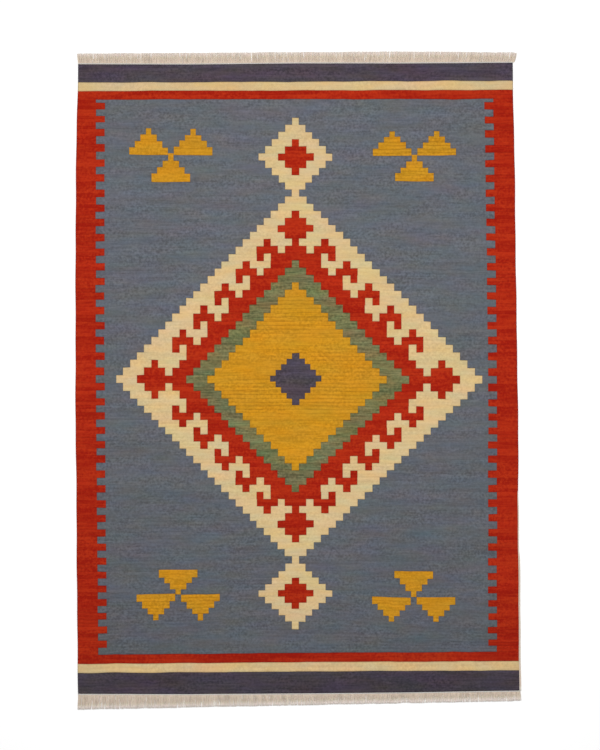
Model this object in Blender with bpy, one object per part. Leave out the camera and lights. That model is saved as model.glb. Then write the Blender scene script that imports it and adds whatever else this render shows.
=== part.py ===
"""A flat-woven kilim rug with a warp fringe at both ends, lying flat.

Metres, +Z up. The rug's length runs along Y and its width along X. The origin is
under the middle of its bounding box, on the surface that the rug lies on.
"""

import math
from collections import namedtuple

import bmesh
import bpy
import numpy as np
from mathutils import Matrix, Vector

MM = 0.001

# The woven cloth. Its face is ribbed from selvedge to selvedge, its back is flat.
CLOTH_THICKNESS = 3.0 * MM
RIB_RISE = 0.6 * MM
RIB_COUNT = 170

# Distances from the rug's middle to both selvedges, in millimetres, at sections
# from the near end to the far end. The cloth narrows a little towards the far end.
Section = namedtuple("Section", "along left right")
SELVEDGES = (
    Section(along=-852, left=-603, right=607),
    Section(along=-600, left=-606, right=605),
    Section(along=-400, left=-607, right=603),
    Section(along=-90, left=-610, right=602),
    Section(along=230, left=-610, right=597),
    Section(along=560, left=-609, right=593),
    Section(along=866, left=-603, right=587),
)
SELVEDGE_WAVER = 0.7 * MM
SELVEDGE_WAVES = (17.0, 41.0)

# Both ends, in millimetres from the rug's middle: where the cloth stops and how far
# the fringe's tips reach, at even steps from the left selvedge to the right one.
EndStep = namedtuple("EndStep", "far_cloth far_tips near_cloth near_tips")
ENDS = (
    EndStep(far_cloth=868, far_tips=898, near_cloth=-856, near_tips=-900),
    EndStep(far_cloth=867, far_tips=900, near_cloth=-857, near_tips=-894),
    EndStep(far_cloth=870, far_tips=902, near_cloth=-855, near_tips=-888),
    EndStep(far_cloth=870, far_tips=904, near_cloth=-852, near_tips=-882),
    EndStep(far_cloth=872, far_tips=901, near_cloth=-847, near_tips=-876),
)
STEPS_ACROSS = np.linspace(0.0, 1.0, len(ENDS))

# The fringes: combed locks of warp yarn that leave one narrow knotted strip.
STRIP_GAP = 0.3 * MM
STRIP_DEPTH = 3.4 * MM
STRIP_THICKNESS = 3.2 * MM
LOCKS_PER_END = 148
LOCK_ROOT_WIDTH = 6.0 * MM
LOCK_TIP_WIDTH = 4.2 * MM
LOCK_TIP_THICKNESS = 1.8 * MM
LOCK_LENGTH_SPREAD = 2.2 * MM
LOCK_SWAY = 1.6 * MM
LOCK_SWAY_WAVES = (5.0, 12.5)
LOCK_LEAN_SPREAD = 0.45 * MM
CORNER_SPLAY_POWER = 9
FRINGE_SEED = 27

# How far the outermost locks lean out past the selvedge, left and right.
Splay = namedtuple("Splay", "left right")
FAR_SPLAY = Splay(left=3.0 * MM, right=12.0 * MM)
NEAR_SPLAY = Splay(left=3.0 * MM, right=4.0 * MM)

# Linear base colours with a roughness each. No part is metallic.
CLOTH_COLOUR = (0.125, 0.132, 0.155)
FRINGE_COLOUR = (0.60, 0.49, 0.40)
WOOL_ROUGHNESS = 0.92


def clear_scene():
    for obj in list(bpy.data.objects):
        bpy.data.objects.remove(obj, do_unlink=True)


def wool(name, colour):
    """A matt wool finish in one colour."""
    material = bpy.data.materials.new(name)
    material.use_nodes = True
    shader = material.node_tree.nodes["Principled BSDF"]
    shader.inputs["Base Color"].default_value = (*colour, 1.0)
    shader.inputs["Roughness"].default_value = WOOL_ROUGHNESS
    shader.inputs["Metallic"].default_value = 0.0
    material.diffuse_color = (*colour, 1.0)
    return material


def smooth_curve(place, stations, values):
    """The value at one place on a smooth curve through values at rising stations."""
    place = min(max(place, stations[0]), stations[-1])
    slopes = np.gradient(values, stations)
    after = int(np.searchsorted(stations, place, side="right"))
    start = min(max(after - 1, 0), len(stations) - 2)
    span = stations[start + 1] - stations[start]
    t = (place - stations[start]) / span
    rise = values[start + 1] - values[start]
    pull_in = slopes[start] * span - rise
    pull_out = rise - slopes[start + 1] * span
    bend = t * (1.0 - t) * ((1.0 - t) * pull_in + t * pull_out)
    return values[start] + t * rise + bend


def selvedge(side, along):
    """X of the left or right selvedge at one distance along the rug."""
    stations = np.array([section.along for section in SELVEDGES]) * MM
    values = np.array([getattr(section, side) for section in SELVEDGES]) * MM
    phase = 0.0 if side == "left" else 2.1
    waver = sum(math.sin(wave * along + phase * wave) for wave in SELVEDGE_WAVES)
    return smooth_curve(along, stations, values) + 0.5 * SELVEDGE_WAVER * waver


def end_value(column, across):
    """One column of ENDS, in metres, at a place from 0 at the left to 1 at the right."""
    values = [getattr(step, column) * MM for step in ENDS]
    return float(np.interp(across, STEPS_ACROSS, values))


def cloth_point(across, along):
    """A point of the cloth's outline plan, both values running from 0 to 1."""
    near = end_value("near_cloth", across)
    far = end_value("far_cloth", across)
    y = near + along * (far - near)
    left = selvedge("left", y)
    right = selvedge("right", y)
    return Vector((left + across * (right - left), y, 0.0))


def end_point(across, along):
    """A point on the straight stretches between the cloth's corners at one end."""
    corners = [cloth_point(step, along) for step in STEPS_ACROSS]
    x = float(np.interp(across, STEPS_ACROSS, [corner.x for corner in corners]))
    y = float(np.interp(across, STEPS_ACROSS, [corner.y for corner in corners]))
    return Vector((x, y, 0.0))


def thicken(bm, thickness):
    """Raises a plan's faces into a solid, each top point to its own thickness."""
    raised = bmesh.ops.extrude_face_region(bm, geom=bm.faces[:], use_keep_orig=True)
    for item in raised["geom"]:
        if isinstance(item, bmesh.types.BMVert):
            item.co.z = item[thickness]
    bmesh.ops.recalc_face_normals(bm, faces=bm.faces[:])


def add_object(name, bm, material):
    mesh = bpy.data.meshes.new(name)
    bm.to_mesh(mesh)
    bm.free()
    mesh.materials.append(material)
    obj = bpy.data.objects.new(name, mesh)
    bpy.context.scene.collection.objects.link(obj)
    return obj


def build_cloth():
    """The whole woven cloth as one ribbed sheet."""
    bm = bmesh.new()
    thickness = bm.verts.layers.float.new("thickness")
    rows = 2 * RIB_COUNT
    columns = len(STEPS_ACROSS) - 1
    bmesh.ops.create_grid(bm, x_segments=columns, y_segments=rows, size=0.5)
    for vert in bm.verts:
        across = vert.co.x + 0.5
        along = vert.co.y + 0.5
        on_crest = round(along * rows) % 2 == 1
        vert.co = cloth_point(across, along)
        vert[thickness] = CLOTH_THICKNESS + (RIB_RISE if on_crest else 0.0)
    thicken(bm, thickness)
    return add_object("cloth", bm, wool("kilim wool", CLOTH_COLOUR))


def lock_shape(index, corner_splay, rng):
    """Where a lock leaves the strip, how far its tip leans and its change of length."""
    across = (index + 0.5) / LOCKS_PER_END
    sway = sum(math.sin(math.tau * wave * across + wave) for wave in LOCK_SWAY_WAVES)
    splay = corner_splay.right * across**CORNER_SPLAY_POWER
    splay -= corner_splay.left * (1.0 - across) ** CORNER_SPLAY_POWER
    lean = splay + 0.5 * LOCK_SWAY * sway + rng.uniform(-1.0, 1.0) * LOCK_LEAN_SPREAD
    shorter = rng.uniform(0.0, 1.0) * LOCK_LENGTH_SPREAD
    return across, lean, shorter


def build_fringe(end, along, outward, corner_splay, material, rng):
    """One fringe: a narrow strip beside the cloth's end, with a comb of tapered locks."""
    bm = bmesh.new()
    thickness = bm.verts.layers.float.new("thickness")
    width = (end_point(1.0, along) - end_point(0.0, along)).x
    half_root = 0.5 * LOCK_ROOT_WIDTH / width

    def point(place, height):
        vert = bm.verts.new(place)
        vert[thickness] = height
        return vert

    def strip_pair(across):
        """The strip's two points at one place: beside the cloth and at the roots."""
        edge = end_point(across, along)
        inner = edge + Vector((0.0, outward * STRIP_GAP, 0.0))
        outer = inner + Vector((0.0, outward * STRIP_DEPTH, 0.0))
        return point(inner, STRIP_THICKNESS), point(outer, STRIP_THICKNESS)

    before = strip_pair(0.0)
    for index in range(LOCKS_PER_END):
        across, lean, shorter = lock_shape(index, corner_splay, rng)
        left = strip_pair(across - half_root)
        right = strip_pair(across + half_root)
        bm.faces.new((before[0], left[0], left[1], before[1]))
        bm.faces.new((left[0], right[0], right[1], left[1]))
        root = end_point(across, along)
        tip_y = end_value(end + "_tips", across) - outward * shorter
        tip_left = Vector((root.x + lean - 0.5 * LOCK_TIP_WIDTH, tip_y, 0.0))
        tip_right = Vector((root.x + lean + 0.5 * LOCK_TIP_WIDTH, tip_y, 0.0))
        tips = [point(tip, LOCK_TIP_THICKNESS) for tip in (tip_left, tip_right)]
        bm.faces.new((left[1], right[1], tips[1], tips[0]))
        before = right
    after = strip_pair(1.0)
    bm.faces.new((before[0], after[0], after[1], before[1]))
    thicken(bm, thickness)
    return add_object("fringe_" + end, bm, material)


def rest_on_origin(objects):
    """Moves every piece so that the origin lies under the middle of the whole rug."""
    points = [vert.co for obj in objects for vert in obj.data.vertices]
    low = Vector([min(point[axis] for point in points) for axis in range(3)])
    high = Vector([max(point[axis] for point in points) for axis in range(3)])
    middle = Vector((0.5 * (low.x + high.x), 0.5 * (low.y + high.y), low.z))
    for obj in objects:
        obj.data.transform(Matrix.Translation(-middle))


def main():
    clear_scene()
    yarn = wool("fringe yarn", FRINGE_COLOUR)
    rng = np.random.default_rng(FRINGE_SEED)
    cloth = build_cloth()
    far = build_fringe("far", 1.0, 1.0, FAR_SPLAY, yarn, rng)
    near = build_fringe("near", 0.0, -1.0, NEAR_SPLAY, yarn, rng)
    rest_on_origin([cloth, far, near])


main()
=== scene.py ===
"""The looks of a flat-woven kilim rug, laid out flat on a pale studio floor.

Metres, +Z up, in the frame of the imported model. The rug's length runs along Y. Its cloth
is woven from a chart, in steps of weft and warp counted as a weaver counts them.
"""

import bisect
import math
from collections import namedtuple

import bpy
import numpy as np
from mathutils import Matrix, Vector, noise


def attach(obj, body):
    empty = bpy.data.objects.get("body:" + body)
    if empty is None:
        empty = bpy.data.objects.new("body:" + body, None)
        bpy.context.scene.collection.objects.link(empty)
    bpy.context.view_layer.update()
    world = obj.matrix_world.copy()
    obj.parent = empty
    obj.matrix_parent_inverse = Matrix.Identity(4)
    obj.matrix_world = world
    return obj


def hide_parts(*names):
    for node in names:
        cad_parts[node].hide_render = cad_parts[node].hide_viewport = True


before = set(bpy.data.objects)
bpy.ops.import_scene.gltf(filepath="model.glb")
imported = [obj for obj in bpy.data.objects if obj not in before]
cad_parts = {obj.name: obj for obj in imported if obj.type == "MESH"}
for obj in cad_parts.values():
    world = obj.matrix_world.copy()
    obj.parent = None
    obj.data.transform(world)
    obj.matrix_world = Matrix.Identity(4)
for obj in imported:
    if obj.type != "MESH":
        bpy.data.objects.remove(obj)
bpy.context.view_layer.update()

MM = 0.001

# ----- The chart -----

# Where the chart's zero lies in the frame.
CHART_ZERO = Vector((1.0, -1.9)) * MM

# Where some weft lines lie, in millimetres from the chart's zero: near the left
# selvedge, at the middle and near the right one. The weaver beat some rows down harder
# than others. Steps count from the far end to the near one, and one step is two ribs.
# The heights come from a least-squares fit to the colours' edges in the photo, made by
# another script, and aren't worked out here.
WeftLine = namedtuple("WeftLine", "step left middle right")
WEFT_LINES = (
    WeftLine(step=-14.5, left=818, middle=820, right=823),
    WeftLine(step=-12.5, left=771, middle=772, right=773),
    WeftLine(step=-8, left=691, middle=682, right=687),
    WeftLine(step=0, left=525, middle=525, right=525),
    WeftLine(step=8, left=363, middle=371, right=364),
    WeftLine(step=16, left=203, middle=211, right=203),
    WeftLine(step=20, left=122, middle=119, right=122),
    WeftLine(step=28, left=-47, middle=-48, right=-50),
    WeftLine(step=36, left=-203, middle=-206, right=-204),
    WeftLine(step=44, left=-367, middle=-361, right=-364),
    WeftLine(step=52, left=-522, middle=-520, right=-525),
    WeftLine(step=60, left=-672, middle=-658, right=-673),
    WeftLine(step=64, left=-749, middle=-744, right=-741),
    WeftLine(step=66, left=-799, middle=-795, right=-792),
)
WEFT_COLUMNS = (-543 * MM, -4 * MM, 536 * MM)
FAR_END = -17.0
NEAR_END = 69.0

# The warp steps, counted from the medallion's middle column, which lies a little left
# of the chart's zero. Its left half is pulled in more than its right one, and the
# small diamonds at its ends more than both.
MIDDLE_COLUMN = -8 * MM
LEFT_STEP = 19.25 * MM
RIGHT_STEP = 20.05 * MM
END_DIAMOND_STEP = 18.4 * MM

Band = namedtuple("Band", "start end yarn")
BANDS = (
    Band(start=FAR_END, end=-14.5, yarn="navy"),
    Band(start=-14.5, end=-13.5, yarn="cream"),
    Band(start=-13.5, end=-12.5, yarn="red"),
    Band(start=-12.5, end=64, yarn="blue"),
    Band(start=64, end=65, yarn="red"),
    Band(start=65, end=66, yarn="cream"),
    Band(start=66, end=NEAR_END, yarn="dusk"),
)

# The comb-edged side bands' edges between the teeth, from the far end to the near one,
# in millimetres from the chart's zero.
Comb = namedtuple("Comb", "step left right")
COMBS = (
    Comb(step=-12, left=-554, right=534),
    Comb(step=23, left=-555, right=544),
    Comb(step=62, left=-548, right=544),
)
TOOTH_REACH = 24 * MM
FIRST_TOOTH = -12
LAST_TOOTH = 62

# The medallion: 51 rows, four stepped diamonds in each other, counted in steps from
# its middle column, with hooks that grow from the red one into the cream.
MEDALLION_ROWS = 50
Layer = namedtuple("Layer", "inset yarn")
MEDALLION = (
    Layer(inset=0, yarn="cream"),
    Layer(inset=7, yarn="red"),
    Layer(inset=10, yarn="green"),
    Layer(inset=13, yarn="mustard"),
)
HOOKS = 5
FIRST_HOOK_ROW = 9
FIRST_HOOK_COLUMN = 3
HOOK_STRIDE = 3
CROSS_ARM = 2
CROSSES = ((5, 0), (45, 0), (25, -20), (25, 20))
END_DIAMOND_ROWS = (-5, 55)
END_DIAMOND_ARM = 5

# Small stepped triangles, three in each corner of the field: two side by side near the
# rug's end, and one between them nearer the medallion. Their places are in millimetres
# from the chart's zero, and their tips point to the rug's ends.
Trio = namedtuple("Trio", "x pair_base pair_tip lone_base lone_tip")
TRIOS = (
    Trio(x=-349, pair_base=619, pair_tip=692, lone_base=546, lone_tip=624),
    Trio(x=318, pair_base=617, pair_tip=685, lone_base=547, lone_tip=620),
    Trio(x=-329, pair_base=-583, pair_tip=-655, lone_base=-516, lone_tip=-585),
    Trio(x=316, pair_base=-591, pair_tip=-659, lone_base=-520, lone_tip=-591),
)
PAIR_SPREAD = 61 * MM
TRIANGLE_ROWS = 4
TRIANGLE_BASE_ROW = 21 * MM
TRIANGLE_POINT = 7.4 * MM
TRIANGLE_STEP = 15.2 * MM

CentreDiamond = namedtuple("CentreDiamond", "x far near arm point step")
CENTRE_DIAMOND = CentreDiamond(x=-7, far=77, near=-65, arm=4, point=10, step=15)

# Farther out than both selvedges.
BEYOND = 1.0

# A steady scatter for the small strays of the colours' edges.
EDGE_JITTER = 0.8 * MM
HASH_RATES = (127.1, 311.7, 74.7)
HASH_SCALE = 43758.5453
COMB_SEEDS = {"left": (4.0, 5.0), "right": (5.0, 5.0)}

# How a weft line strays from its course, less so at the cloth's ends: waves of three
# sizes, each with its share, how fast it changes to the metre across the rug and to the
# step along it, and a seed.
WEFT_WAVER = 1.5 * MM
END_WAVER = 0.35
Wave = namedtuple("Wave", "share across along seed")
WEFT_WAVES = (
    Wave(share=1.0, across=11.0, along=0.35, seed=7.0),
    Wave(share=0.6, across=27.0, along=0.8, seed=19.0),
    Wave(share=0.35, across=62.0, along=1.1, seed=31.0),
)

# ----- The cloth -----

CLOTH_FLAT = (1.21, 1.73)

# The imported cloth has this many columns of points, the outermost at its selvedges.
PACKED_COLUMNS = 5
SELVEDGES_BEYOND = 0.5

# How finely the mesh follows the weave, and how it keeps clear of the slits between
# colours. Places across the rug that agree to this many digits are one place.
RIBS_PER_STEP = 2
LINES_PER_RIB = 4
UNDERSIDE_LINES_PER_RIB = 2
FILL_SPACING = 25 * MM
FILL_CLEARANCE = 5 * MM
SLIT_SHOULDER = 1.3 * MM
PLACE_DIGITS = 5

# Heights over the floor, the rise of the ribs and the depth of the grooves.
UNDERSIDE_GAP = 0.25 * MM
UNDERSIDE_RISE = 0.5 * MM
CLOTH_VALLEY = 2.9 * MM
RIB_RISE = 0.7 * MM
GROOVE_DEPTH = 0.45 * MM

# How far the ribs stand out, as a share of their full rise: tightly beaten rows are
# almost smooth, and slacker ones come in patches this many to the metre and the rib.
# Many seeds, rates and contrasts were tried against the ribs in the photo, and these are among
# the closest.
RIB_PATCH_RATES = (2.2, 0.19)
RIB_PATCH_SEED = 658.6
RIB_PATCH_CONTRAST = 1.6
FLATTEST_RIB = 0.12

# The selvedge's rounded rim, from its outermost point inwards: how far in from the edge, how
# high as a share of the thickness there and how far it lies in a groove, which sinks it a little
# and darkens it with painted shade.
RimPoint = namedtuple("RimPoint", "inset height groove")
RIM_FACE = (
    RimPoint(inset=0.0, height=0.5, groove=1.0),
    RimPoint(inset=0.9 * MM, height=0.86, groove=0.9),
    RimPoint(inset=3.4 * MM, height=1.0, groove=0.0),
)
RIM_UNDERSIDE = (
    RimPoint(inset=0.9 * MM, height=0.12, groove=0.9),
    RimPoint(inset=3.4 * MM, height=0.0, groove=0.0),
)
RIM_CLEARANCE = 8 * MM

# ----- The fringes -----

STRANDS_PER_LOCK = 11
STRAND_RADIUS = 0.8 * MM
STRAND_TIP_RADIUS = 0.62 * MM
STRAND_POINTS = 7
STRAND_SIDES = 5
STRAND_SCATTER = 0.3
STRAND_CURL = 0.4 * MM
TIP_UNEVENNESS = 1.2 * MM
CUT_LEVEL = 2
FRINGE_SEED = 411

# A strand leaves its root at one height, lies highest a little further on and settles
# towards its tip. One that leans out far bows sideways close to its root.
STRAND_ROOT_HEIGHT = 1.7 * MM
STRAND_HIGHEST = 0.3
STRAND_TIP_LIFT = 0.6
BOW_LEAN = 10.0 * MM
STRAIGHT_LEAN_POWER = 1.4
BOWED_LEAN_POWER = 0.3

# Slow changes along a fringe: their size, how fast they come to the metre and a seed.
Drift = namedtuple("Drift", "size rate seed")
LOCK_LEAN = Drift(size=4.0 * MM, rate=24.0, seed=5.0)
STRAND_TONE = 0.5
STRAND_TONE_DRIFTS = (
    Drift(size=0.6, rate=90.0, seed=9.0),
    Drift(size=0.4, rate=23.0, seed=13.0),
)
STRAND_TONE_SPREAD = 0.08

# The pair of yarns twined along the cloth's end.
CORD_RADIUS = 0.95 * MM
CORD_TWIST_RADIUS = 0.75 * MM
CORD_PITCH = 7.0 * MM
CORD_POINTS_PER_TURN = 7
CORD_SIDES = 6
CORD_INSET = 1.6 * MM
CORD_HEIGHT = 2.1 * MM
CORD_TONE = 0.6

# The strands lie in layers: an even mat on the floor, and looser ones across it. The mat's tone
# is painted darker as painted shade, and the top layer's lighter as painted light.
StrandLayer = namedtuple("StrandLayer", "height lean tone")
STRAND_LAYERS = (
    StrandLayer(height=0.0, lean=0.3 * MM, tone=-0.05),
    StrandLayer(height=0.7 * MM, lean=1.0 * MM, tone=0.0),
    StrandLayer(height=1.4 * MM, lean=2.2 * MM, tone=0.05),
)

# The undyed warps that wear bares at the right selvedge towards the near end, in millimetres:
# how far outside the cloth's edge, how high and from where along the rug.
# Each starts hidden in the cloth and comes out of it over a short stretch.
BareWarp = namedtuple("BareWarp", "outside height start")
BARE_WARPS = (
    BareWarp(outside=-0.4, height=2.6, start=-270),
    BareWarp(outside=1.9, height=1.4, start=-420),
)
HIDDEN_WARP_OUTSIDE = -2.0
HIDDEN_WARP_HEIGHT = 1.8
HIDDEN_WARP_SHARE = 0.3
BARE_WARP_RADIUS = 1.3 * MM
BARE_WARP_EMERGENCE = 70.0 * MM
BARE_WARP_WAVER = 0.4 * MM
BARE_WARP_WAVER_RATE = 40.0
BARE_WARP_SEED = 3.0
BARE_WARP_POINTS = 90

# ----- The yarns and their finish -----

# A dyed yarn: the two linear colours it varies between, how far its red, green and blue drift
# with a cooler dye and with a more purple one, how much painted shade darkens it from the far
# end to the near one, how strongly streaks, bands and mottling show in it, how much shade is
# painted into the valleys between its ribs, and a seed.
Yarn = namedtuple("Yarn", "deep light cool purple fade streak band mottle valley seed")
YARNS = {
    "blue": Yarn(
        deep=(0.074, 0.078, 0.088), light=(0.130, 0.139, 0.158),
        cool=(-0.14, 0.02, 0.19), purple=(0.10, -0.06, 0.07),
        fade=0.14, streak=0.42, band=0.32, mottle=0.8, valley=0.07, seed=1.3,
    ),
    "red": Yarn(
        deep=(0.275, 0.0060, 0.0002), light=(0.400, 0.0235, 0.0036),
        cool=(0.0, 0.25, 0.3), purple=(0.04, -0.1, 0.2),
        fade=0.09, streak=0.6, band=1.15, mottle=0.9, valley=0.12, seed=2.3,
    ),
    "cream": Yarn(
        deep=(0.488, 0.354, 0.180), light=(0.610, 0.451, 0.229),
        cool=(-0.14, 0.04, 0.28), purple=(0.06, -0.05, 0.1),
        fade=0.0, streak=0.4, band=0.5, mottle=0.7, valley=0.05, seed=3.3,
    ),
    "mustard": Yarn(
        deep=(0.390, 0.177, 0.006), light=(0.552, 0.253, 0.012),
        cool=(-0.12, 0.02, 0.7), purple=(0.06, -0.05, 0.15),
        fade=0.0, streak=0.8, band=0.5, mottle=1.0, valley=0.22, seed=4.3,
    ),
    "green": Yarn(
        deep=(0.081, 0.080, 0.033), light=(0.207, 0.186, 0.083),
        cool=(-0.42, 0.14, 0.3), purple=(0.06, -0.06, 0.24),
        fade=0.05, streak=0.9, band=0.5, mottle=0.6, valley=0.1, seed=5.3,
    ),
    "navy": Yarn(
        deep=(0.040, 0.031, 0.042), light=(0.078, 0.060, 0.080),
        cool=(-0.05, -0.05, 0.34), purple=(0.19, -0.12, 0.02),
        fade=0.0, streak=0.6, band=0.6, mottle=0.9, valley=0.1, seed=6.3,
    ),
    "dusk": Yarn(
        deep=(0.032, 0.026, 0.034), light=(0.062, 0.049, 0.065),
        cool=(-0.05, -0.05, 0.34), purple=(0.19, -0.12, 0.02),
        fade=0.0, streak=0.6, band=0.6, mottle=0.9, valley=0.1, seed=7.3,
    ),
}
YARN_NAMES = tuple(YARNS)

# The undyed warp yarn of each fringe and the cord twined beside it: its linear colours, how much
# light is painted onto its tips, and how far back from them.
Undyed = namedtuple("Undyed", "deep light bleach worn")
UNDYED = {
    "far_fringe": Undyed(
        deep=(0.515, 0.42, 0.33), light=(0.71, 0.60, 0.49), bleach=0.6, worn=14 * MM
    ),
    "near_fringe": Undyed(
        deep=(0.50, 0.41, 0.325), light=(0.69, 0.585, 0.48), bleach=0.95, worn=17 * MM
    ),
    "twined_cord": Undyed(
        deep=(0.47, 0.45, 0.43), light=(0.60, 0.575, 0.55), bleach=0.0, worn=1 * MM
    ),
}
# The pale colour that the painted light turns the strands' tips towards.
PAINTED_TIP_COLOUR = (0.78, 0.71, 0.65)

# Noise patterns: how fast they change to the metre across the rug and to the pass or rib
# along it, and a seed. Those of the strands change with their tone and to the metre
# along them.
Pattern = namedtuple("Pattern", "across along seed")
STREAKS = Pattern(across=22.0, along=3.7, seed=0.0)
THREADS = Pattern(across=60.0, along=5.3, seed=20.0)
DYE_BANDS = Pattern(across=5.0, along=0.62, seed=40.0)
MOTTLING = Pattern(across=160.0, along=1.6, seed=60.0)
MOTTLED_PATCHES = Pattern(across=9.0, along=0.3, seed=70.0)
COOL_CAST = Pattern(across=13.0, along=0.4, seed=80.0)
PURPLE_CAST = Pattern(across=8.0, along=0.25, seed=90.0)
WOOL_FIBRES = Pattern(across=900.0, along=40.0, seed=0.0)
STRAND_FIBRES = Pattern(across=60.0, along=420.0, seed=3.0)
STRAND_SHADES = Pattern(across=1.0, along=60.0, seed=8.0)
STRAND_CASTS = Pattern(across=13.0, along=110.0, seed=12.0)

# How the patterns add up. Mottling is faint between its patches and stronger in them.
THREAD_SHARE = 0.5
PATCH_EDGE = 0.4
FAINT_MOTTLING = 0.5
ADDED_MOTTLING = 1.1
FIBRE_SHARE = 0.25
TONE_SHARE = 0.8
SHADE_SHARE = 0.2
LEAST_TONE = 0.1
STRAND_CAST = (0.08, -0.05, 0.08)

# The grain of weft passes over warps, the shade painted into the rib valleys and grooves, and
# the wool's fuzz.
PASSES_PER_RIB = 4
WARP_PITCH = 4.2 * MM
WARP_ROUNDING = 0.5
PASS_ROUNDING = 0.6
VALLEY_REACH = 0.75
GRAIN_DEPTH = 0.3 * MM
FIBRE_DEPTH = 0.15 * MM
GROOVE_SHADE = 0.28
CLOTH_ROUGHNESS = 0.9
MOTTLED_ROUGHNESS = 0.05
STRAND_ROUGHNESS = 0.88
FIBRE_ROUGHNESS = 0.06
WOOL_SPECULAR = 0.12
WOOL_SHEEN = 0.12
WOOL_SHEEN_ROUGHNESS = 0.55

# ----- The studio -----

# The camera looks straight down at this place and sees this length of the floor.
VIEW_CENTRE = (5.7 * MM, 15.1 * MM)
VIEW_LENGTH = 2.055
CAMERA_HEIGHT = 5.0
SENSOR = 36.0
FLOOR_SIZE = 60.0
FLOOR_COLOUR = (0.93, 0.93, 0.93)
FLOOR_ROUGHNESS = 0.95
WORLD_LIGHT = 0.65

# A low, wide sun picks out the weave. A soft box over the far half of the rug leaves
# the near end a little darker.
SUN_PLACE = (-2.0, 5.0, 5.0)
SUN_STRENGTH = 0.95
SUN_SPREAD = 25.0
BOX_PLACE = (0.0, 0.25, 2.0)
BOX_SIZE = (1.8, 0.8)
BOX_POWER = 21.0

# ----- The rug's outline, read from the frame -----


def node_points(name):
    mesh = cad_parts[name].data
    points = np.zeros(3 * len(mesh.vertices))
    mesh.vertices.foreach_get("co", points)
    return points.reshape(-1, 3)


class Outline:
    """The cloth's four edges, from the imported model."""

    def __init__(self):
        cloth = node_points("cloth")
        left = cloth[cloth[:, 0] < -SELVEDGES_BEYOND]
        right = cloth[cloth[:, 0] > SELVEDGES_BEYOND]
        self.left = left[np.argsort(left[:, 1])]
        self.right = right[np.argsort(right[:, 1])]
        columns = self.columns(cloth)
        self.far = np.array([points[np.argmax(points[:, 1])] for points in columns])
        self.near = np.array([points[np.argmin(points[:, 1])] for points in columns])

    def columns(self, cloth):
        """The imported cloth's points, parted into its even columns from left to right."""
        left = np.interp(cloth[:, 1], self.left[:, 1], self.left[:, 0])
        right = np.interp(cloth[:, 1], self.right[:, 1], self.right[:, 0])
        place = (cloth[:, 0] - left) / (right - left)
        column = np.round(place * (PACKED_COLUMNS - 1))
        return [cloth[column == k] for k in range(PACKED_COLUMNS)]

    def left_x(self, y):
        return float(np.interp(y, self.left[:, 1], self.left[:, 0]))

    def right_x(self, y):
        return float(np.interp(y, self.right[:, 1], self.right[:, 0]))

    def far_y(self, x):
        return float(np.interp(x, self.far[:, 0], self.far[:, 1]))

    def near_y(self, x):
        return float(np.interp(x, self.near[:, 0], self.near[:, 1]))


# ----- The chart's lines and colours -----


Span = namedtuple("Span", "start end yarn")


def hashed(*numbers):
    """A steady pseudo-random value from -1 to 1 for a few numbers."""
    value = math.sin(sum(n * rate for n, rate in zip(numbers, HASH_RATES))) * HASH_SCALE
    return 2.0 * (value - math.floor(value)) - 1.0


def weft_waver(step, x):
    """How a weft line strays from its course, from about -1 to 1."""
    waver = 0.0
    for wave in WEFT_WAVES:
        place = Vector((x * wave.across, step * wave.along, wave.seed))
        waver += wave.share * noise.noise(place)
    return waver


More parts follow.
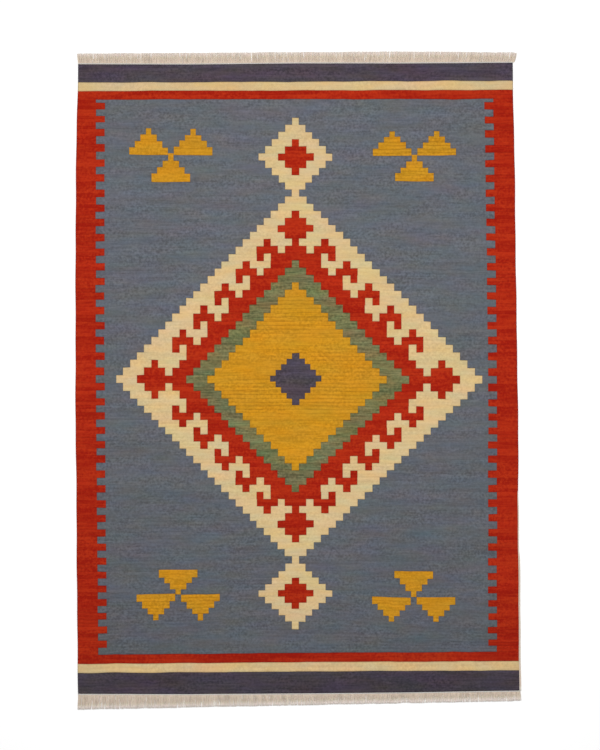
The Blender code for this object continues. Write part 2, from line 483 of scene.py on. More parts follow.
class Chart:
    """Places the chart's weft and warp lines on the rug and colours them."""

    def __init__(self, outline):
        self.outline = outline
        self.steps = np.array([line.step for line in WEFT_LINES])
        self.heights = np.array([line[1:] for line in WEFT_LINES]) * MM

    def inner_weft_y(self, step, x):
        at_columns = [np.interp(step, self.steps, column) for column in self.heights.T]
        return float(np.interp(x - CHART_ZERO.x, WEFT_COLUMNS, at_columns)) + CHART_ZERO.y

    def weft_y(self, step, x):
        """Y of a weft line at one place across the rug."""
        if step < self.steps[0]:
            share = (step - FAR_END) / (self.steps[0] - FAR_END)
            edge = self.outline.far_y(x)
            y = edge + share * (self.inner_weft_y(self.steps[0], x) - edge)
        elif step > self.steps[-1]:
            share = (NEAR_END - step) / (NEAR_END - self.steps[-1])
            edge = self.outline.near_y(x)
            y = edge + share * (self.inner_weft_y(self.steps[-1], x) - edge)
        else:
            y = self.inner_weft_y(step, x)
            share = 1.0
        return y + min(share + END_WAVER, 1.0) * WEFT_WAVER * weft_waver(step, x)

    def selvedges(self, step):
        """X of both selvedges on one weft line."""
        left = self.outline.left_x(self.weft_y(step, self.outline.left_x(0.0)))
        right = self.outline.right_x(self.weft_y(step, self.outline.right_x(0.0)))
        return left, right

    def columns(self, first, last, row, steps=(LEFT_STEP, RIGHT_STEP)):
        """X of both edges of a stretch of columns on one row, both columns included."""
        return self.warp_x(first - 0.5, row, steps), self.warp_x(last + 0.5, row, steps)

    def warp_x(self, column, row, steps):
        x = MIDDLE_COLUMN + column * steps[column > 0.0]
        return x + CHART_ZERO.x + EDGE_JITTER * hashed(column, row, 0.0)

    def strip_spans(self, step):
        """The colours of one strip of weft, from the left selvedge to the right."""
        yarn = next(band.yarn for band in BANDS if band.start <= step < band.end)
        spans = [Span(-BEYOND, BEYOND, yarn)]
        if yarn == "blue":
            for start, end, colour in self.motif_spans(step):
                spans = paint(spans, Span(start, end, colour))
        return merge(spans)

    def motif_spans(self, step):
        """Every motif's stretches on one strip, the lower layers first."""
        row = math.floor(step)
        yield from self.comb_spans(row)
        for centre in END_DIAMOND_ROWS:
            steps = (END_DIAMOND_STEP, END_DIAMOND_STEP)
            yield from self.diamond_spans(row, (centre, 0), END_DIAMOND_ARM, "cream", steps)
            yield from self.diamond_spans(row, (centre, 0), CROSS_ARM, "red")
        if 0 <= row <= MEDALLION_ROWS:
            yield from self.medallion_spans(row)
        for trio in TRIOS:
            pair = trio.pair_base * MM, trio.pair_tip * MM
            lone = trio.lone_base * MM, trio.lone_tip * MM
            yield from self.triangle_spans(step, trio.x * MM - PAIR_SPREAD, *pair)
            yield from self.triangle_spans(step, trio.x * MM + PAIR_SPREAD, *pair)
            yield from self.triangle_spans(step, trio.x * MM, *lone)
        yield from self.centre_spans(step)

    def comb_spans(self, row):
        tooth = FIRST_TOOTH <= row <= LAST_TOOTH and (row - FIRST_TOOTH) % 2 == 0
        reach = TOOTH_REACH if tooth else 0.0
        yield -BEYOND, self.comb_x("left", row) + reach, "red"
        yield self.comb_x("right", row) - reach, BEYOND, "red"

    def comb_x(self, side, row):
        """X of one side band's edge between its teeth, on one row."""
        steps = [comb.step for comb in COMBS]
        places = [getattr(comb, side) * MM for comb in COMBS]
        stray = EDGE_JITTER * hashed(row, *COMB_SEEDS[side])
        return float(np.interp(row, steps, places)) + CHART_ZERO.x + stray

    def diamond_spans(self, row, centre, arm, yarn, *steps):
        """One row of a stepped diamond about the row and column of its centre."""
        centre_row, column = centre
        reach = arm - abs(row - centre_row)
        if reach >= 0:
            yield (*self.columns(column - reach, column + reach, row, *steps), yarn)

    def medallion_spans(self, row):
        rows_in = min(row, MEDALLION_ROWS - row)
        for layer in MEDALLION:
            reach = rows_in - layer.inset
            if reach >= 0:
                yield (*self.columns(-reach, reach, row), layer.yarn)
        for hook in range(HOOKS):
            hook_row = FIRST_HOOK_ROW + hook * HOOK_STRIDE
            column = FIRST_HOOK_COLUMN + hook * HOOK_STRIDE
            for first, last in hook_cells(hook_row - rows_in, column):
                yield (*self.columns(first, last, row), "red")
                yield (*self.columns(-last, -first, row), "red")
        for centre in CROSSES:
            yield from self.diamond_spans(row, centre, CROSS_ARM, "red")

    def triangle_spans(self, step, x, base, tip):
        x += CHART_ZERO.x
        y = self.weft_y(step, x) - CHART_ZERO.y
        height = abs(tip - base)
        rise = (y - base) * math.copysign(1.0, tip - base)
        if 0.0 <= rise < height:
            upper = (rise - TRIANGLE_BASE_ROW) / (height - TRIANGLE_BASE_ROW)
            row = max(math.floor(upper * (TRIANGLE_ROWS - 1)) + 1, 0)
            half = TRIANGLE_POINT + (TRIANGLE_ROWS - 1 - row) * TRIANGLE_STEP
            yield x - half, x + half, "mustard"

    def centre_spans(self, step):
        diamond = CENTRE_DIAMOND
        x = diamond.x * MM + CHART_ZERO.x
        y = self.weft_y(step, x) - CHART_ZERO.y
        rows = 2 * diamond.arm + 1
        share = (diamond.far * MM - y) / ((diamond.far - diamond.near) * MM)
        if 0.0 <= share < 1.0:
            reach = diamond.arm - abs(int(share * rows) - diamond.arm)
            half = (diamond.point + reach * diamond.step) * MM
            yield x - half, x + half, "navy"


def hook_cells(rows_out, column):
    """Columns of one hook, at a count of rows outwards from its root's row."""
    if rows_out == 0:
        return ((column, column), (column + 2, column + 2))
    if rows_out == 1:
        return ((column, column + 2),)
    if rows_out == 2:
        return ((column + 1, column + 1),)
    return ()


def paint(spans, new):
    """Lays one stretch of colour over the others."""
    result = []
    for span in spans:
        if span.end <= new.start or span.start >= new.end:
            result.append(span)
            continue
        if span.start < new.start:
            result.append(Span(span.start, new.start, span.yarn))
        if span.end > new.end:
            result.append(Span(new.end, span.end, span.yarn))
    result.append(new)
    return sorted(result)


def merge(spans):
    """Joins neighbours of one colour."""
    result = [spans[0]]
    for span in spans[1:]:
        if span.yarn == result[-1].yarn:
            result[-1] = Span(result[-1].start, span.end, span.yarn)
        else:
            result.append(span)
    return result


# ----- The cloth's mesh -----

# A line of the mesh keeps its points by place: x for those inside the cloth, and
# these keys for the points of the rounded rims, from the left selvedge inwards and
# then outwards to the right one.
LEFT_RIM = (-3, -2, -1)
RIGHT_RIM = (1, 2, 3)


def place_key(x):
    return round(x, PLACE_DIGITS)


def fill_places(breaks):
    """Evenly spaced places across the rug that keep clear of the colour breaks."""
    count = int(0.5 * CLOTH_FLAT[0] / FILL_SPACING)
    places = [index * FILL_SPACING for index in range(-count, count + 1)]
    return [x for x in places if all(abs(x - b) > FILL_CLEARANCE for b in breaks)]


class Strip:
    """One strip of the mesh between two weft lines: its colours and its places."""

    def __init__(self, chart, step):
        self.spans = chart.strip_spans(step)
        self.breaks = [place_key(span.start) for span in self.spans[1:]]
        places = set(fill_places(self.breaks))
        for x in self.breaks:
            places.update((x - SLIT_SHOULDER, x, x + SLIT_SHOULDER))
        left, right = chart.selvedges(step)
        inside = [x for x in places if left + RIM_CLEARANCE < x < right - RIM_CLEARANCE]
        self.places = sorted(place_key(x) for x in inside)
        self.stations = [*LEFT_RIM, *self.places, *RIGHT_RIM]

    def yarn_at(self, x):
        return next(span.yarn for span in self.spans if span.start <= x < span.end)

    def yarn_between(self, start, end):
        """The yarn between two neighbouring stations."""
        if end in LEFT_RIM:
            return self.spans[0].yarn
        if start in RIGHT_RIM:
            return self.spans[-1].yarn
        low = self.places[0] if start in LEFT_RIM else start
        high = self.places[-1] if end in RIGHT_RIM else end
        return self.yarn_at(0.5 * (low + high))


class Line:
    """One weft line of the mesh: its points' indices by place, in order."""

    def __init__(self, points):
        self.points = dict(points)
        self.keys = sorted(self.points)

    def chain(self, start, end):
        """Indices of the points from one place to another, both included."""
        first = bisect.bisect_left(self.keys, start)
        last = bisect.bisect_right(self.keys, end)
        return [self.points[key] for key in self.keys[first:last]]


def groove_at(x, beside):
    """1 on a line between two colours or at the cloth's end, and 0 within a colour."""
    if len(beside) == 1 or any(x in strip.breaks for strip in beside):
        return 1.0
    return float(beside[0].yarn_at(x) != beside[1].yarn_at(x))


def rib_relief(step, x):
    """How far the ribs stand out at one place, from nearly flat to 1."""
    across, along = RIB_PATCH_RATES
    patch = noise.noise(Vector((x * across, step * RIBS_PER_STEP * along, RIB_PATCH_SEED)))
    return min(max(0.5 + RIB_PATCH_CONTRAST * patch, FLATTEST_RIB), 1.0)


class ClothBuilder:
    """Weaves the cloth's closed mesh: its face, underside, selvedges and both ends.

    Each point carries its place in the weave, x and the count of ribs, and two marks: how far it
    lies in a groove and how far the ribs stand out there. The material paints shade by both
    marks.
    """

    def __init__(self, chart):
        self.chart = chart
        self.points = []
        self.weave = []
        self.marks = []
        self.faces = []
        self.yarns = []

    def face_z(self, valley, groove):
        return CLOTH_VALLEY + RIB_RISE * (1.0 - valley) - GROOVE_DEPTH * groove

    def underside_z(self, valley, groove):
        return UNDERSIDE_GAP + UNDERSIDE_RISE * valley + GROOVE_DEPTH * groove

    def add_point(self, step, x, height, groove):
        """A point at a share of the thickness: 0 on the underside and 1 on the face."""
        ribs = step * RIBS_PER_STEP
        relief = rib_relief(step, x)
        valley = relief * (1.0 - abs(math.sin(math.pi * ribs)))
        low = self.underside_z(valley, groove)
        z = low + height * (self.face_z(valley, groove) - low)
        self.points.append((x, self.chart.weft_y(step, x), z))
        self.weave.append((x, ribs))
        self.marks.append((groove, relief))
        return len(self.points) - 1

    def rim_points(self, step, rim, beside):
        """The points that round the selvedges off, as pairs of key and index."""
        left, right = self.chart.selvedges(step)
        for keys, edge, inwards in ((LEFT_RIM, left, 1.0), (RIGHT_RIM[::-1], right, -1.0)):
            for key, point in zip(keys[-len(rim) :], rim):
                x = edge + inwards * point.inset
                groove = max(point.groove, groove_at(x, beside))
                yield key, self.add_point(step, x, point.height, groove)

    def lines(self, strips, height, rim, edges=None):
        """A surface's lines of points. Each has the places of the strips beside it."""
        count = len(strips)
        edges = edges or [()] * (count + 1)
        for index in range(count + 1):
            step = FAR_END + index * (NEAR_END - FAR_END) / count
            beside = strips[max(index - 1, 0) : index + 1]
            places = set().union(*(strip.places for strip in beside))
            grooves = [(x, groove_at(x, beside)) for x in sorted(places)]
            inner = [(x, self.add_point(step, x, height, groove)) for x, groove in grooves]
            yield Line([*inner, *self.rim_points(step, rim, beside), *edges[index]])

    def add_face(self, corners, yarn):
        self.faces.append(corners)
        self.yarns.append(YARN_NAMES.index(yarn))

    def strips(self, lines_per_rib):
        count = round((NEAR_END - FAR_END) * RIBS_PER_STEP * lines_per_rib)
        height = (NEAR_END - FAR_END) / count
        return [Strip(self.chart, FAR_END + (index + 0.5) * height) for index in range(count)]

    def weave_face(self):
        strips = self.strips(LINES_PER_RIB)
        lines = list(self.lines(strips, 1.0, RIM_FACE))
        for strip, far, near in zip(strips, lines[:-1], lines[1:]):
            for start, end in zip(strip.stations[:-1], strip.stations[1:]):
                corners = near.chain(start, end) + far.chain(start, end)[::-1]
                self.add_face(corners, strip.yarn_between(start, end))
        return lines

    def weave_underside(self, face_lines):
        """The underside, which meets the face at the selvedges' outermost points."""
        strips = self.strips(UNDERSIDE_LINES_PER_RIB)
        stride = LINES_PER_RIB // UNDERSIDE_LINES_PER_RIB
        keys = (LEFT_RIM[0], RIGHT_RIM[-1])
        edges = [[(key, line.points[key]) for key in keys] for line in face_lines[::stride]]
        lines = list(self.lines(strips, 0.0, RIM_UNDERSIDE, edges))
        for index, (strip, far, near) in enumerate(zip(strips, lines[:-1], lines[1:])):
            between = face_lines[index * stride + 1 : (index + 1) * stride]
            for start, end in zip(strip.stations[:-1], strip.stations[1:]):
                corners = far.chain(start, end) + near.chain(start, end)[::-1]
                if start == LEFT_RIM[0]:
                    corners += [line.points[start] for line in reversed(between)]
                if end == RIGHT_RIM[-1]:
                    corners[2:2] = [line.points[end] for line in between]
                self.add_face(corners, strip.yarn_between(start, end))
        return strips, lines

    def close_ends(self, face_lines, strips, underside_lines):
        for index, far_end in ((0, True), (-1, False)):
            strip = strips[index]
            face, under = face_lines[index], underside_lines[index]
            for start, end in zip(strip.stations[:-1], strip.stations[1:]):
                corners = face.chain(start, end) + under.chain(start, end)[::-1]
                corners = list(dict.fromkeys(corners))
                corners = corners if far_end else corners[::-1]
                self.add_face(corners, strip.yarn_between(start, end))

    def build(self):
        face_lines = self.weave_face()
        strips, underside_lines = self.weave_underside(face_lines)
        self.close_ends(face_lines, strips, underside_lines)
        return self.mesh()

    def mesh(self):
        mesh = bpy.data.meshes.new("kilim_cloth")
        mesh.from_pydata(self.points, [], self.faces)
        corners = np.concatenate(self.faces)
        for name, values in (("weave", self.weave), ("marks", self.marks)):
            layer = mesh.uv_layers.new(name=name)
            layer.data.foreach_set("uv", np.array(values)[corners].ravel())
        mesh.polygons.foreach_set("material_index", self.yarns)
        mesh.polygons.foreach_set("use_smooth", [True] * len(self.faces))
        mesh.update()
        return mesh


def link(name, mesh, materials):
    """A piece of the rug, which rides on its one body."""
    for material in materials:
        mesh.materials.append(material)
    piece = bpy.data.objects.new(name, mesh)
    bpy.context.scene.collection.objects.link(piece)
    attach(piece, "root")
    return piece


def make_cloth(chart):
    materials = [wool_material(name, YARNS[name]) for name in YARN_NAMES]
    return link("woven_cloth", ClothBuilder(chart).build(), materials)


# ----- The fringes' meshes -----


class Tubes:
    """Closed tubes in one mesh. UVs hold each one's tone and the way back from its tip."""

    def __init__(self):
        self.points = []
        self.faces = []
        self.corners = []
        self.yarns = []

    def add(self, path, radii, sides, tone, yarn):
        first = len(self.points)
        tangents = np.gradient(path, axis=0)
        tangents /= np.linalg.norm(tangents, axis=1)[:, None]
        across = np.cross(tangents, (0.0, 0.0, 1.0))
        across /= np.linalg.norm(across, axis=1)[:, None]
        up = np.cross(across, tangents)
        for angle in np.arange(sides) * math.tau / sides:
            ring = path + radii[:, None] * (math.cos(angle) * across + math.sin(angle) * up)
            self.points.extend(map(tuple, ring))
        length = np.cumsum(np.r_[0.0, np.linalg.norm(np.diff(path, axis=0), axis=1)])
        left = length[-1] - length
        count = len(path)
        for side in range(sides):
            here = first + side * count
            there = first + (side + 1) % sides * count
            for k in range(count - 1):
                self.faces.append((here + k, here + k + 1, there + k + 1, there + k))
                ends = (left[k], left[k + 1], left[k + 1], left[k])
                self.corners.extend((tone, end) for end in ends)
        ring = [first + side * count for side in range(sides)]
        self.faces.append(tuple(ring))
        self.faces.append(tuple(index + count - 1 for index in reversed(ring)))
        self.corners.extend([(tone, left[0])] * sides + [(tone, 0.0)] * sides)
        self.yarns.extend([yarn] * (sides * (count - 1) + 2))

    def mesh(self, name):
        mesh = bpy.data.meshes.new(name)
        mesh.from_pydata(self.points, [], self.faces)
        strand = mesh.uv_layers.new(name="strand")
        strand.data.foreach_set("uv", np.array(self.corners).ravel())
        mesh.polygons.foreach_set("material_index", self.yarns)
        mesh.polygons.foreach_set("use_smooth", [True] * len(self.faces))
        mesh.update()
        return mesh


def lock_tips(node, outwards):
    """The middle of each lock's tip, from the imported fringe, left to right."""
    points = node_points(node)
    reach = points[:, 1] * outwards
    tips = points[reach > 0.5 * (reach.min() + reach.max())][:, :2]
    tips = np.unique(np.round(tips, PLACE_DIGITS), axis=0)
    return tips.reshape(-1, 2, 2).mean(axis=1)


class FringeEnds:
    """Where the strands of one fringe end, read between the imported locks' tips."""

    def __init__(self, tips, pitch, outwards):
        count = len(tips)
        self.outwards = outwards
        self.places = np.r_[-0.5, np.arange(count), count - 0.5]
        first, last = tips[0, 0] - 0.5 * pitch, tips[-1, 0] + 0.5 * pitch
        self.xs = np.r_[first, tips[:, 0], last]
        reach = outwards * tips[:, 1]
        self.cut = [reach[max(k - CUT_LEVEL, 0) : k + CUT_LEVEL + 1].max() for k in range(count)]

    def tip(self, place, short):
        """A strand's tip, at a place counted in locks, cut level with its neighbours."""
        x = float(np.interp(place, self.places, self.xs))
        cut = float(np.interp(place, self.places[1:-1], self.cut))
        return x, self.outwards * (cut - short)


def twined_cord(tubes, edge_points, outwards):
    """The pair of yarns twined along the cloth's end, which holds the last weft."""
    xs, ys = edge_points
    turns = (xs[-1] - xs[0]) / CORD_PITCH
    along = np.linspace(0.0, 1.0, int(turns * CORD_POINTS_PER_TURN))
    x = xs[0] + along * (xs[-1] - xs[0])
    y = np.interp(x, xs, ys) + outwards * CORD_INSET
    for ply in (0.0, math.pi):
        angle = math.tau * turns * along + ply
        offset_y = CORD_TWIST_RADIUS * np.cos(angle)
        offset_z = CORD_TWIST_RADIUS * np.sin(angle)
        path = np.column_stack((x, y + offset_y, CORD_HEIGHT + offset_z))
        tubes.add(path, np.full(len(x), CORD_RADIUS), CORD_SIDES, CORD_TONE, yarn=1)


def strand_path(root, tip, curl, height):
    """A strand's points from its root to its tip, on a soft double bend."""
    t = np.linspace(0.0, 1.0, STRAND_POINTS)
    bend = np.sin(math.pi * t) * curl[0] + np.sin(math.tau * t) * curl[1]
    lean = tip[0] - root[0]
    power = max(STRAIGHT_LEAN_POWER - abs(lean) / BOW_LEAN, BOWED_LEAN_POWER)
    x = root[0] + lean * t**power + bend
    y = root[1] + (tip[1] - root[1]) * t
    high = STRAND_RADIUS + height
    low = STRAND_RADIUS + STRAND_TIP_LIFT * height
    z = np.interp(t, (0.0, STRAND_HIGHEST, 1.0), (STRAND_ROOT_HEIGHT, high, low))
    return np.column_stack((x, y, z))


def drift(kind, place, line):
    """A slow change's value at one place of one line of yarns."""
    return kind.size * noise.noise(Vector((place * kind.rate, kind.seed, line)))


def make_fringe(name, node, edge, outwards, rng):
    """One fringe: the twined cord and its combed warp ends, gathered in locks."""
    tubes = Tubes()
    xs, ys = edge[:, 0], edge[:, 1]
    twined_cord(tubes, (xs, ys), outwards)
    tips = lock_tips(node, outwards)
    pitch = (xs[-1] - xs[0]) / len(tips)
    ends = FringeEnds(tips, pitch, outwards)
    radii = np.linspace(STRAND_RADIUS, STRAND_TIP_RADIUS, STRAND_POINTS)
    for index in range(len(tips) * STRANDS_PER_LOCK):
        stray = rng.uniform(-STRAND_SCATTER, STRAND_SCATTER)
        place = (index + 0.5 + stray) / STRANDS_PER_LOCK - 0.5
        layer = STRAND_LAYERS[index % len(STRAND_LAYERS)]
        root_x = xs[0] + (place + 0.5) * pitch
        root = (root_x, float(np.interp(root_x, xs, ys)))
        tip_x, tip_y = ends.tip(place, TIP_UNEVENNESS * rng.uniform() ** 2)
        lock_lean = drift(LOCK_LEAN, root_x, outwards)
        tip = (tip_x + lock_lean + layer.lean * rng.normal(), tip_y)
        path = strand_path(root, tip, STRAND_CURL * rng.normal(size=2), layer.height)
        tone = STRAND_TONE
        for kind in STRAND_TONE_DRIFTS:
            tone += drift(kind, root_x, outwards)
        # Each layer's tone paints shade on the mat low down and light on the top layer.
        tone += layer.tone + STRAND_TONE_SPREAD * rng.normal()
        tubes.add(path, radii, STRAND_SIDES, tone, yarn=0)
    materials = [undyed_material(kind, UNDYED[kind]) for kind in (name, "twined_cord")]
    piece = link(name, tubes.mesh(name), materials)
    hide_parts(node)
    return piece


def make_bare_warps(outline):
    """The warps that come out of the right selvedge, bared by wear, and run to the near fringe.
    """
    tubes = Tubes()
    for warp in BARE_WARPS:
        y = np.linspace(warp.start * MM, outline.right[0, 1], BARE_WARP_POINTS)
        out = np.minimum((y[0] - y) / BARE_WARP_EMERGENCE, 1.0)
        outside = np.interp(out, (0.0, 1.0), (HIDDEN_WARP_OUTSIDE, warp.outside))
        height = np.interp(out, (0.0, 1.0), (HIDDEN_WARP_HEIGHT, warp.height))
        rate, seed = BARE_WARP_WAVER_RATE, BARE_WARP_SEED
        waver = [noise.noise(Vector((place * rate, warp.start, seed))) for place in y]
        waver = BARE_WARP_WAVER * np.array(waver)
        edge = np.array([outline.right_x(place) for place in y])
        path = np.column_stack((edge + outside * MM + waver, y, height * MM))
        radii = BARE_WARP_RADIUS * np.interp(out, (0.0, 1.0), (HIDDEN_WARP_SHARE, 1.0))
        tubes.add(path, radii, CORD_SIDES, CORD_TONE, yarn=0)
    materials = [undyed_material("bare_warps", UNDYED["near_fringe"])]
    return link("bare_warps", tubes.mesh("bare_warps"), materials)


# ----- Materials -----


class Graph:
    """A material's nodes. Most calls add some and give the last one's output."""

    def __init__(self, name):
        self.material = bpy.data.materials.new(name)
        self.material.use_nodes = True
        self.tree = self.material.node_tree
        self.shader = self.tree.nodes["Principled BSDF"]

    def put(self, socket, value):
        if isinstance(value, bpy.types.NodeSocket):
            self.tree.links.new(value, socket)
        else:
            socket.default_value = value

    def shade(self, name, value):
        """Gives the shader one of its values."""
        self.put(self.shader.inputs[name], value)

    def add(self, kind, *values, **settings):
        """A new node with its settings and the values of its first sockets."""
        node = self.tree.nodes.new("ShaderNode" + kind)
        for name, setting in settings.items():
            setattr(node, name, setting)
        for socket, value in zip(node.inputs, values):
            self.put(socket, value)
        return node

    def uv(self, layer):
        """The two values of one UV layer."""
        split = self.add("SeparateXYZ", self.add("UVMap", uv_map=layer).outputs["UV"])
        return split.outputs["X"], split.outputs["Y"]

    def vector(self, x, y, z):
        return self.add("CombineXYZ", x, y, z).outputs[0]

    def math(self, operation, *values, clamp=False):
        return self.add("Math", *values, operation=operation, use_clamp=clamp).outputs[0]

    def noise(self, place):
        """Smooth noise from about -1 to 1."""
        node = self.add("TexNoise", place)
        self.put(node.inputs["Scale"], 1.0)
        return self.math("MULTIPLY_ADD", node.outputs["Fac"], 2.0, -1.0)

    def stretched(self, pattern, across, along, seed=0.0):
        """A pattern's noise over two values, drawn out as its rates say."""
        x = self.math("MULTIPLY", across, pattern.across)
        y = self.math("MULTIPLY", along, pattern.along)
        return self.noise(self.vector(x, y, pattern.seed + seed))

    def arches(self, value):
        """A row of arches: 0 at whole numbers and 1 midway between them."""
        return self.math("ABSOLUTE", self.math("SINE", self.math("MULTIPLY", value, math.pi)))

    def ramp(self, value, low, high):
        """0 at low, 1 at high, smooth between them."""
        limits = low, high, 0.0, 1.0
        return self.add("MapRange", value, *limits, interpolation_type="SMOOTHSTEP").outputs[0]

    def mix(self, share, first, second, blend="MIX"):
        node = self.add("Mix", share, data_type="RGBA", blend_type=blend, clamp_factor=True)
        colours = [socket for socket in node.inputs if socket.type == "RGBA"]
        self.put(colours[0], first)
        self.put(colours[1], second)
        return next(socket for socket in node.outputs if socket.type == "RGBA")

    def total(self, *terms):
        """The sum of value times weight over pairs of both."""
        result = 0.0
        for value, weight in terms:
            result = self.math("MULTIPLY_ADD", value, weight, result)
        return result

    def bump(self, height, distance):
        node = self.add("Bump")
        self.put(node.inputs["Strength"], 1.0)
        self.put(node.inputs["Distance"], distance)
        self.put(node.inputs["Height"], height)
        return node.outputs[0]


def wool_material(name, yarn):
    """Weft-faced wool: uneven dye drawn out along the weft, painted shade in its grooves and rib
    valleys, and grains.
    """
    graph = Graph("kilim_" + name)
    across, ribs = graph.uv("weave")
    groove, relief = graph.uv("marks")
    passes = graph.math("MULTIPLY", ribs, PASSES_PER_RIB)
    pass_row = graph.math("FLOOR", passes)
    rib_row = graph.math("FLOOR", ribs)

    streak = graph.stretched(STREAKS, across, pass_row, yarn.seed)
    thread = graph.stretched(THREADS, across, pass_row, yarn.seed)
    band = graph.stretched(DYE_BANDS, across, rib_row, yarn.seed)
    mottle = graph.stretched(MOTTLING, across, ribs, yarn.seed)
    patch = graph.stretched(MOTTLED_PATCHES, across, ribs, yarn.seed)
    patch = graph.ramp(patch, -PATCH_EDGE, PATCH_EDGE)
    strength = graph.math("MULTIPLY_ADD", patch, ADDED_MOTTLING, FAINT_MOTTLING)
    mottle = graph.math("MULTIPLY", mottle, strength)
    cool = graph.stretched(COOL_CAST, across, ribs, yarn.seed)
    purple = graph.stretched(PURPLE_CAST, across, ribs, yarn.seed)
    dye = graph.total(
        (streak, yarn.streak),
        (thread, THREAD_SHARE * yarn.streak),
        (band, yarn.band),
        (mottle, yarn.mottle),
    )
    dye = graph.math("ADD", dye, 0.5, clamp=True)
    colour = graph.mix(dye, (*yarn.deep, 1.0), (*yarn.light, 1.0))
    # Painted shade: the colour darkens steadily from the far end to the near one.
    fade = graph.math("MULTIPLY_ADD", ribs, -yarn.fade / (LAST_TOOTH * RIBS_PER_STEP), 1.0)
    tint = [
        graph.total((fade, 1.0), (cool, cooler), (purple, purpler))
        for cooler, purpler in zip(yarn.cool, yarn.purple)
    ]
    colour = graph.mix(1.0, colour, graph.vector(*tint), blend="MULTIPLY")

    # Painted shade: the colour darkens in the valleys between the ribs and in the grooves at
    # slits, colour joins and the selvedges' rims.
    rib_phase = graph.math("FRACT", ribs)
    crest = graph.math("SINE", graph.math("MULTIPLY", rib_phase, math.pi))
    valley = graph.math("SUBTRACT", 1.0, graph.ramp(crest, 0.0, VALLEY_REACH))
    valley = graph.math("MULTIPLY", valley, relief)
    shade = graph.total((valley, -yarn.valley), (groove, -GROOVE_SHADE))
    shade = graph.math("ADD", shade, 1.0, clamp=True)
    colour = graph.mix(1.0, colour, graph.vector(shade, shade, shade), blend="MULTIPLY")
    graph.shade("Base Color", colour)

    odd = graph.math("MULTIPLY", graph.math("PINGPONG", pass_row, 1.0), 0.5)
    warp = graph.math("ADD", graph.math("DIVIDE", across, WARP_PITCH), odd)
    grain_across = graph.math("POWER", graph.arches(warp), WARP_ROUNDING)
    grain_along = graph.math("POWER", graph.arches(passes), PASS_ROUNDING)
    grain = graph.math("MULTIPLY", grain_across, grain_along)
    fibre = graph.stretched(WOOL_FIBRES, across, ribs, yarn.seed)
    height = graph.total((grain, 1.0), (fibre, FIBRE_SHARE))
    graph.shade("Normal", graph.bump(height, GRAIN_DEPTH))
    rough = graph.math("MULTIPLY_ADD", mottle, MOTTLED_ROUGHNESS, CLOTH_ROUGHNESS)
    graph.shade("Roughness", rough)
    finish_wool(graph, yarn.light)
    return graph.material


def finish_wool(graph, tint):
    """The fuzz that all the wool shares."""
    graph.shade("Metallic", 0.0)
    graph.shade("Specular IOR Level", WOOL_SPECULAR)
    graph.shade("Sheen Weight", WOOL_SHEEN)
    graph.shade("Sheen Roughness", WOOL_SHEEN_ROUGHNESS)
    graph.shade("Sheen Tint", (*[c**0.5 for c in tint], 1.0))


def undyed_material(name, yarn):
    """Undyed warp yarn: lighter and darker strands, fine fibres and tips made paler by painted
    light.
    """
    graph = Graph(name)
    tone, along = graph.uv("strand")
    fibre = graph.stretched(STRAND_FIBRES, tone, along)
    shade = graph.stretched(STRAND_SHADES, tone, along)
    share = graph.total((tone, TONE_SHARE), (fibre, FIBRE_SHARE), (shade, SHADE_SHARE))
    share = graph.math("ADD", share, LEAST_TONE, clamp=True)
    colour = graph.mix(share, (*yarn.deep, 1.0), (*yarn.light, 1.0))
    # Painted light: the colour turns paler towards the strands' tips.
    bleach = graph.math("SUBTRACT", 1.0, graph.ramp(along, 0.0, yarn.worn))
    bleach = graph.math("MULTIPLY", bleach, yarn.bleach)
    colour = graph.mix(bleach, colour, (*PAINTED_TIP_COLOUR, 1.0))
    cast = graph.stretched(STRAND_CASTS, tone, along)
    tint = [graph.math("MULTIPLY_ADD", cast, amount, 1.0) for amount in STRAND_CAST]
    colour = graph.mix(1.0, colour, graph.vector(*tint), blend="MULTIPLY")
    graph.shade("Base Color", colour)
    graph.shade("Normal", graph.bump(fibre, FIBRE_DEPTH))
    rough = graph.math("MULTIPLY_ADD", fibre, FIBRE_ROUGHNESS, STRAND_ROUGHNESS)
    graph.shade("Roughness", rough)
    finish_wool(graph, yarn.light)
    return graph.material


def plain_material(name, colour):
    graph = Graph(name)
    graph.shade("Base Color", (*colour, 1.0))
    graph.shade("Roughness", FLOOR_ROUGHNESS)
    graph.shade("Specular IOR Level", 0.0)
    return graph.material


# ----- The floor, the lights and the camera -----


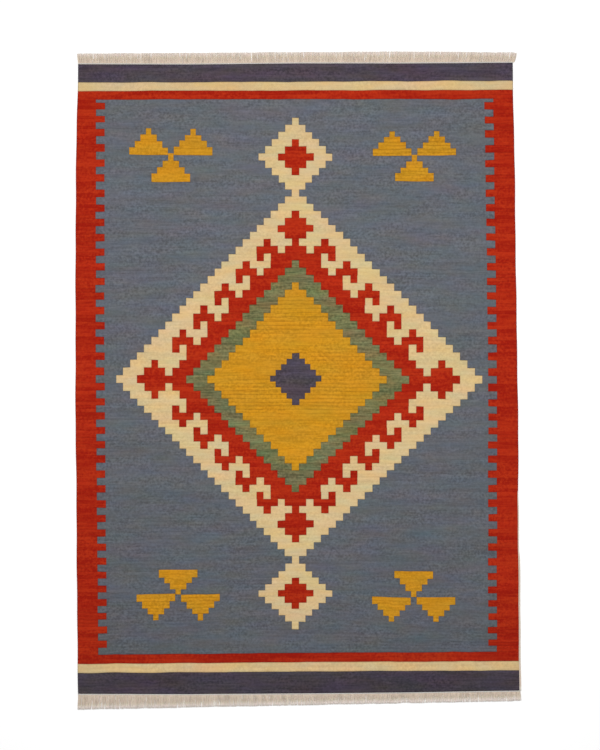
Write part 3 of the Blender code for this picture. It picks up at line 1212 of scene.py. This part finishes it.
def make_floor():
    half = 0.5 * FLOOR_SIZE
    mesh = bpy.data.meshes.new("floor")
    corners = [(-half, -half, 0.0), (half, -half, 0.0), (half, half, 0.0), (-half, half, 0.0)]
    mesh.from_pydata(corners, [], [(0, 1, 2, 3)])
    mesh.materials.append(plain_material("floor", FLOOR_COLOUR))
    floor = bpy.data.objects.new("floor", mesh)
    bpy.context.scene.collection.objects.link(floor)


def point_at(obj, place, target):
    obj.location = place
    direction = Vector(target) - Vector(place)
    obj.rotation_euler = direction.to_track_quat("-Z", "Y").to_euler()


def add_light(name, kind, place, target):
    data = bpy.data.lights.new(name, kind)
    light = bpy.data.objects.new(name, data)
    bpy.context.scene.collection.objects.link(light)
    point_at(light, place, target)
    return data


def make_lights():
    world = bpy.data.worlds.new("studio")
    world.use_nodes = True
    background = world.node_tree.nodes["Background"]
    background.inputs["Color"].default_value = (1.0, 1.0, 1.0, 1.0)
    background.inputs["Strength"].default_value = WORLD_LIGHT
    bpy.context.scene.world = world
    sun = add_light("sun", "SUN", SUN_PLACE, (0.0, 0.0, 0.0))
    sun.energy = SUN_STRENGTH
    sun.angle = math.radians(SUN_SPREAD)
    box = add_light("soft_box", "AREA", BOX_PLACE, (BOX_PLACE[0], BOX_PLACE[1], 0.0))
    box.shape = "RECTANGLE"
    box.size, box.size_y = BOX_SIZE
    box.energy = BOX_POWER


def make_camera():
    data = bpy.data.cameras.new("camera")
    data.sensor_width = SENSOR
    data.lens = SENSOR * CAMERA_HEIGHT / VIEW_LENGTH
    camera = bpy.data.objects.new("camera", data)
    bpy.context.scene.collection.objects.link(camera)
    camera.location = (*VIEW_CENTRE, CAMERA_HEIGHT)
    bpy.context.scene.camera = camera


def main():
    bpy.context.scene.view_settings.view_transform = "Standard"
    make_camera()
    make_lights()
    make_floor()
    outline = Outline()
    chart = Chart(outline)
    rng = np.random.default_rng(FRINGE_SEED)
    cloth = make_cloth(chart)
    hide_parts("cloth")
    far = make_fringe("far_fringe", "fringe_far", outline.far, 1.0, rng)
    near = make_fringe("near_fringe", "fringe_near", outline.near, -1.0, rng)
    make_bare_warps(outline)


main()
